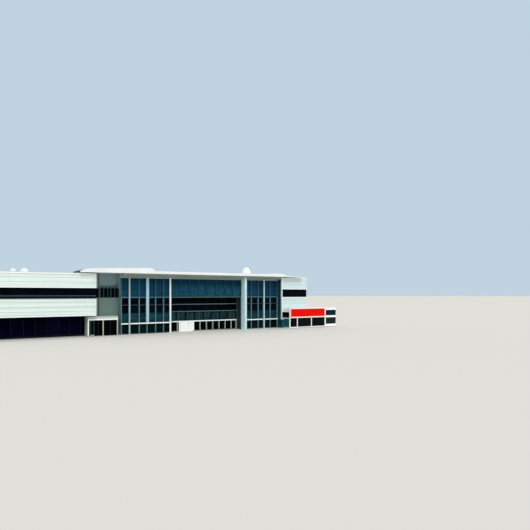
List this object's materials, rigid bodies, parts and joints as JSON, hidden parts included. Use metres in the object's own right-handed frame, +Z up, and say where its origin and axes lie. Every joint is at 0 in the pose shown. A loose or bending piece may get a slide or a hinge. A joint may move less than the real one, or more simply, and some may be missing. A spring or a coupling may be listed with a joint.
{
  "type": "airport terminal building, 1:10 scale model",
  "caption": "Long airport terminal front: glazed hall under a thin white roof, panelled wings with ribbon windows, entrance porch and a low pavilion with a red fascia; 1:10 model.",
  "frame": {"origin": "centre of the building's plan at the ground it stands on", "axes": "+X along the front to the right as seen from outside, +Y from the front towards the back, +Z up; the front faces -Y"},
  "size_m": [9.07, 2.8, 1.621],
  "materials": {
    "white_panel": "satin",
    "roof_white": "satin",
    "grey_cladding": "matt",
    "floor_concrete": "smooth concrete",
    "roof_membrane": "matt",
    "frame_metal": "satin",
    "white_steel": "satin",
    "dark_glass": "dark tinted, polished",
    "hall_glass": "teal tinted, polished",
    "door_leaf": "satin",
    "red_board": "gloss",
    "pale_trim": "gloss"
  },
  "bodies": {
    "building": {"ground_floor": "floor_concrete", "left_wing_front_wall": "white_panel", "left_wing_ribbon_glass": "dark_glass", "left_wing_floor": "floor_concrete", "left_wing_roof": "roof_membrane", "left_wing_end_walls": "white_panel", "left_wing_back_wall": "white_panel", "left_wing_ground_frame": "frame_metal", "left_wing_ground_glass": "dark_glass", "wing_roof_domes": "roof_white", "link_wall": "grey_cladding", "link_window": "dark_glass", "porch_roof": "white_steel", "porch_posts": "white_steel", "porch_side_wall": "grey_cladding", "porch_glass": "dark_glass", "hall_columns": "white_steel", "blade_column": "white_steel", "door_head_beams": "white_steel", "hall_upper_frame": "frame_metal", "hall_lower_frames": "frame_metal", "hall_glass": "hall_glass", "recess_frame": "frame_metal", "recess_glass": "dark_glass", "recess_ceiling": "floor_concrete", "recess_side_walls": "grey_cladding", "service_block": "white_steel", "hall_upper_floor": "floor_concrete", "hall_back_wall": "white_panel", "hall_end_walls": "white_panel", "hall_roof": "roof_white", "roof_monitor": "roof_white", "roof_dome": "roof_white", "right_wing_front_wall": "white_panel", "right_wing_ribbon_glass": "dark_glass", "right_wing_side_glass": "hall_glass", "right_wing_floor": "floor_concrete", "right_wing_roof": "roof_membrane", "right_wing_end_wall": "white_panel", "right_wing_back_wall": "white_panel", "right_wing_ground_glass": "dark_glass", "back_glass": "dark_glass", "pavilion_roof": "roof_white", "red_fascia": "red_board", "fascia_trim": "pale_trim", "pavilion_posts": "white_steel", "pavilion_glass": "dark_glass", "pavilion_walls": "white_panel", "end_room_front": "white_panel", "end_room_glass": "dark_glass"},
    "door": {"porch_door": "door_leaf"}
  },
  "joints": [
    {"name": "door_hinge", "type": "hinge", "parent": "building", "child": "door", "pos_m": [-2.315, -1.038, 0], "axis": [0, 0, 1], "range_deg": [-90, 0]}
  ]
}
